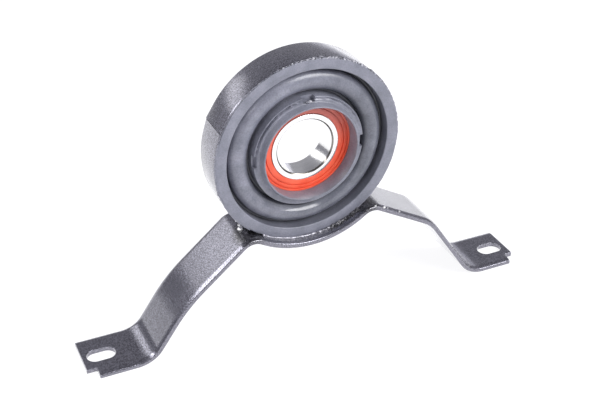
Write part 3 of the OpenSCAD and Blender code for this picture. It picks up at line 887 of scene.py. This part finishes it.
strap_paint = dip_paint("strap_dip_paint", "#5b5a64", "#908f9b", 0.23, 0.036, (LEFT_BURN, RIGHT_BURN))
ring_paint = dip_paint("ring_dip_paint", "#595862", "#94939f", 0.26, 0.045)
weld_paint = dip_paint("weld_dip_paint", "#77767f", "#a09fa8", 0.34, 0.1, (BEAD_BURN,))
spatter_steel = bright_steel("frozen_weld_steel", "#eeeef0", 0.3)
mount_rubber = bloomed_rubber("bloomed_rubber_with_painted_light")
flash_rubber = torn_rubber_with_painted_light("torn_rubber_painted_light", 20, 34)
nib_rubber = torn_rubber_with_painted_light("shredded_rubber_painted_light", 10, 20)
seal_rubber = nitrile("orange_nitrile_rubber")
race_steel = bright_steel("ground_bearing_steel", "#e4e4e4", 0.16, "#8b8782")
outer_steel = bright_steel("ground_outer_race_steel", "#dcdcdc", 0.16)
ball_steel = bright_steel("lapped_ball_steel", "#e4e4e4", 0.08)
cage_steel = bright_steel("pressed_cage_steel", "#a89a78", 0.35)
sleeve_steel = bright_steel("drawn_sleeve_steel", "#8d8d90", 0.4)

dress(bent_strap(), strap_paint, "housing", "strap_paint", "mounting_strap")
dress(rolled_ring(), ring_paint, "housing", "ring_paint", "outer_ring")
dress(moulded_mount(), mount_rubber, "housing", "mount_rubber", "rubber_mount")
dress(seal_ring("lip_seal_front", True), seal_rubber, "housing", "seal_rubber", "seal_front")
dress(seal_ring("lip_seal_rear", False), seal_rubber, "housing", "seal_rubber", "seal_rear")
dress(ground_race(), race_steel, "inner_ring", "bearing_steel", "inner_race")
dress(rim_flash(), flash_rubber, "housing", "mount_rubber")
dress(torn_nib(), nib_rubber, "housing", "mount_rubber")
dress(weld_spatter(), spatter_steel, "housing", "weld_paint")
dress(weld_run("weld_run_front", RING_FRONT, -1), weld_paint, "housing", "weld_paint", "weld_front")
dress(weld_run("weld_run_rear", RING_BACK, 1), weld_paint, "housing", "weld_paint", "weld_rear")

# Solids that show as they are
kept = {"outer_race": outer_steel, "bearing_sleeve": sleeve_steel, "cage_front": cage_steel,
        "cage_rear": cage_steel, "cage_rivets": cage_steel}
for name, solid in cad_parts.items():
    finish = ball_steel if name.startswith("ball_") else kept.get(name)
    if finish:
        solid.data.materials.clear()
        solid.data.materials.append(finish)

scene = bpy.context.scene
scene.view_settings.view_transform = "Standard"

# Camera at the photograph's place, on a 600 by 400 frame
lens = bpy.data.cameras.new("view")
lens.sensor_width = 36.0
lens.lens = 62.93
lens.clip_start = 0.01
lens.clip_end = 20.0
camera = bpy.data.objects.new("view", lens)
camera.location = (-0.20113, -0.41241, 0.25534)
camera.rotation_euler = [math.radians(a) for a in (57.771, -1.211, -25.257)]
scene.collection.objects.link(camera)
scene.camera = camera


def panel(name, place, aim, width, height, power, tint="#ffffff"):
    """A soft studio panel at a place, turned to the point that it aims at."""
    light = bpy.data.lights.new(name, "AREA")
    light.shape = "RECTANGLE"
    light.size = width
    light.size_y = height
    light.energy = power
    light.color = linear(tint)[:3]
    lamp = bpy.data.objects.new(name, light)
    lamp.location = place
    lamp.rotation_euler = (Vector(aim) - Vector(place)).to_track_quat("-Z", "Y").to_euler()
    lamp.visible_camera = False
    scene.collection.objects.link(lamp)


# Panels in metres and watts
panel("panel_over", (0.477, -0.569, 0.56), (0, 0, -0.03), 0.8, 0.34, 7.7)
panel("panel_left_back", (-0.42, 0.68, 0.32), (0, 0, -0.02), 0.36, 0.22, 0.44)
panel("panel_right_back", (0.55, 0.66, 0.03), (0, 0, -0.03), 0.5, 0.24, 0.24, "#f0f0fb")
panel("panel_front", (0.95, -0.95, 0.75), (0, 0, -0.02), 1.5, 1.5, 6.5)
panel("panel_left", (-0.65, -0.12, 0.41), (-0.03, -0.08, -0.05), 1.45, 0.14, 4.1)

# Pale floor that stays white to the eye and in the steel, and still takes the shadow
floor_gap = 0.2 * MM
rest_all()
bpy.ops.mesh.primitive_plane_add(size=8, location=(0, 0, -AXIS_HEIGHT * MM - floor_gap))
floor = bpy.context.object
floor.name = "floor"
paper = bpy.data.materials.new("white_paper")
paper.use_nodes = True
tree = paper.node_tree
tree.nodes.clear()
path = node(tree, "LightPath")
seen = node(
    tree, "Math", {"operation": "MAXIMUM"},
    {0: path.outputs["Is Camera Ray"], 1: path.outputs["Is Glossy Ray"]})
shown = node(
    tree, "Math", {"operation": "MAXIMUM"}, {0: seen.outputs[0], 1: path.outputs["Is Transmission Ray"]})
matt = node(tree, "BsdfDiffuse", {"Color": linear("#e6e6e8")})
thin = node(tree, "BsdfDiffuse", {"Color": linear("#8f8f93")})
white = node(
    tree, "Math", {"operation": "MULTIPLY_ADD", 1: 0.15, 2: 0.85}, {0: path.outputs["Is Glossy Ray"]})
glow = node(tree, "Emission", {"Color": linear("#ffffff")}, {"Strength": white.outputs[0]})
lit = node(tree, "AddShader", None, {0: thin.outputs[0], 1: glow.outputs[0]})
sheet = node(tree, "MixShader", None, {0: shown.outputs[0], 1: matt.outputs[0], 2: lit.outputs[0]})
node(tree, "OutputMaterial", None, {"Surface": sheet.outputs[0]})
floor.data.materials.append(paper)

# Soft room light: grey at the floor and overhead, paler between
world = bpy.data.worlds.new("studio_room")
world.use_nodes = True
scene.world = world
tree = world.node_tree
tree.nodes.clear()
outlook = node(tree, "TexCoord").outputs["Generated"]
rise = node(tree, "SeparateXYZ", None, {"Vector": outlook})
shade = node(
    tree, "ValToRGB",
    {"stops": [(0.0, "#7e7e84"), (0.15, "#92929a"), (0.3, "#a4a4aa"), (0.55, "#a4a4aa"), (0.75, "#88888e")]},
    {"Fac": rise.outputs["Z"]})
sky = node(tree, "Background", {"Strength": 1.0}, {"Color": shade.outputs["Color"]})
node(tree, "OutputWorld", None, {"Surface": sky.outputs[0]})
